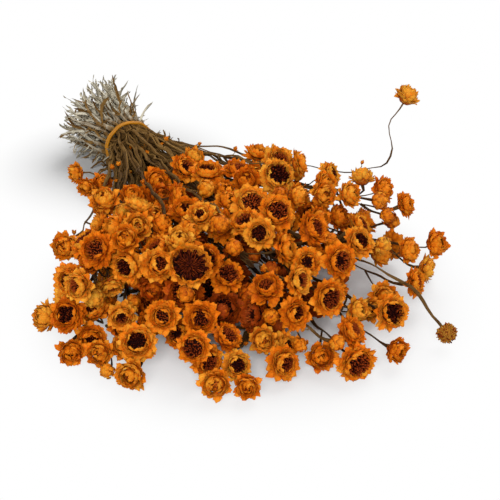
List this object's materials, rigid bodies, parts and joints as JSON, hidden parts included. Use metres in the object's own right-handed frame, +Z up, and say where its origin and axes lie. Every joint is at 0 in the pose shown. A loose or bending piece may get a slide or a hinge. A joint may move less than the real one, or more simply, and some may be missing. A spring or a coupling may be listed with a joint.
{
  "type": "dried flower bunch",
  "caption": "Tied bunch of dried, dyed winged-everlasting stems with papery flower heads, lying flat, cut ends bound by a rubber band, for dried arrangements and decoration.",
  "frame": {"origin": "middle of the lying bunch's box, on the surface it lies on", "axes": "+Y towards the cut ends of the stems, -Y towards the flowers, +Z up, +X to the right seen from the flowers' end looking along +Y"},
  "size_m": [0.323, 0.4824, 0.1208],
  "materials": {
    "dyed_flower": "matt, papery",
    "seed_disc": "matt, granular",
    "dried_stem": "matt, fibrous",
    "woolly_leaf": "matt, woolly",
    "rubber": "satin"
  },
  "bodies": {
    "root": {"flowering_stem_01": "dyed_flower", "flowering_stem_02": "dyed_flower", "flowering_stem_03": "dyed_flower", "flowering_stem_04": "dyed_flower", "flowering_stem_05": "dyed_flower", "flowering_stem_06": "dyed_flower", "flowering_stem_07": "dyed_flower", "flowering_stem_08": "dyed_flower", "flowering_stem_09": "dyed_flower", "flowering_stem_10": "dyed_flower", "flowering_stem_11": "dyed_flower", "flowering_stem_12": "dyed_flower", "flowering_stem_13": "dyed_flower", "flowering_stem_14": "dyed_flower", "flowering_stem_15": "dyed_flower", "flowering_stem_16": "dyed_flower", "flowering_stem_17": "dyed_flower", "flowering_stem_18": "dyed_flower", "flowering_stem_19": "dyed_flower", "flowering_stem_20": "dyed_flower", "flowering_stem_21": "dyed_flower", "flowering_stem_22": "dyed_flower", "flowering_stem_23": "dyed_flower", "flowering_stem_24": "dyed_flower", "flowering_stem_25": "dyed_flower", "flowering_stem_26": "dyed_flower", "flowering_stem_27": "dyed_flower", "flowering_stem_28": "dyed_flower", "flowering_stem_29": "dyed_flower", "flowering_stem_30": "dyed_flower", "flowering_stem_31": "dyed_flower", "flowering_stem_32": "dyed_flower", "flowering_stem_33": "dyed_flower", "flowering_stem_34": "dyed_flower", "flowering_stem_35": "dyed_flower", "flowering_stem_36": "dyed_flower", "flowering_stem_37": "dyed_flower", "flowering_stem_38": "dyed_flower", "flowering_stem_39": "dyed_flower", "flowering_stem_40": "dyed_flower", "flowering_stem_41": "dyed_flower", "flowering_stem_42": "dyed_flower", "flowering_stem_43": "dyed_flower", "flowering_stem_44": "dyed_flower", "flowering_stem_45": "dyed_flower", "flowering_stem_46": "dyed_flower", "flowering_stem_47": "dyed_flower", "flowering_stem_48": "dyed_flower", "flowering_stem_49": "dyed_flower", "flowering_stem_50": "dyed_flower", "flowering_stem_51": "dyed_flower", "flowering_stem_52": "dyed_flower", "flowering_stem_53": "dyed_flower", "flowering_stem_54": "dyed_flower", "flowering_stem_55": "dyed_flower", "flowering_stem_56": "dyed_flower", "flowering_stem_57": "dyed_flower", "flowering_stem_58": "dyed_flower", "flowering_stem_59": "dyed_flower", "rubber_band": "rubber"}
  },
  "joints": []
}
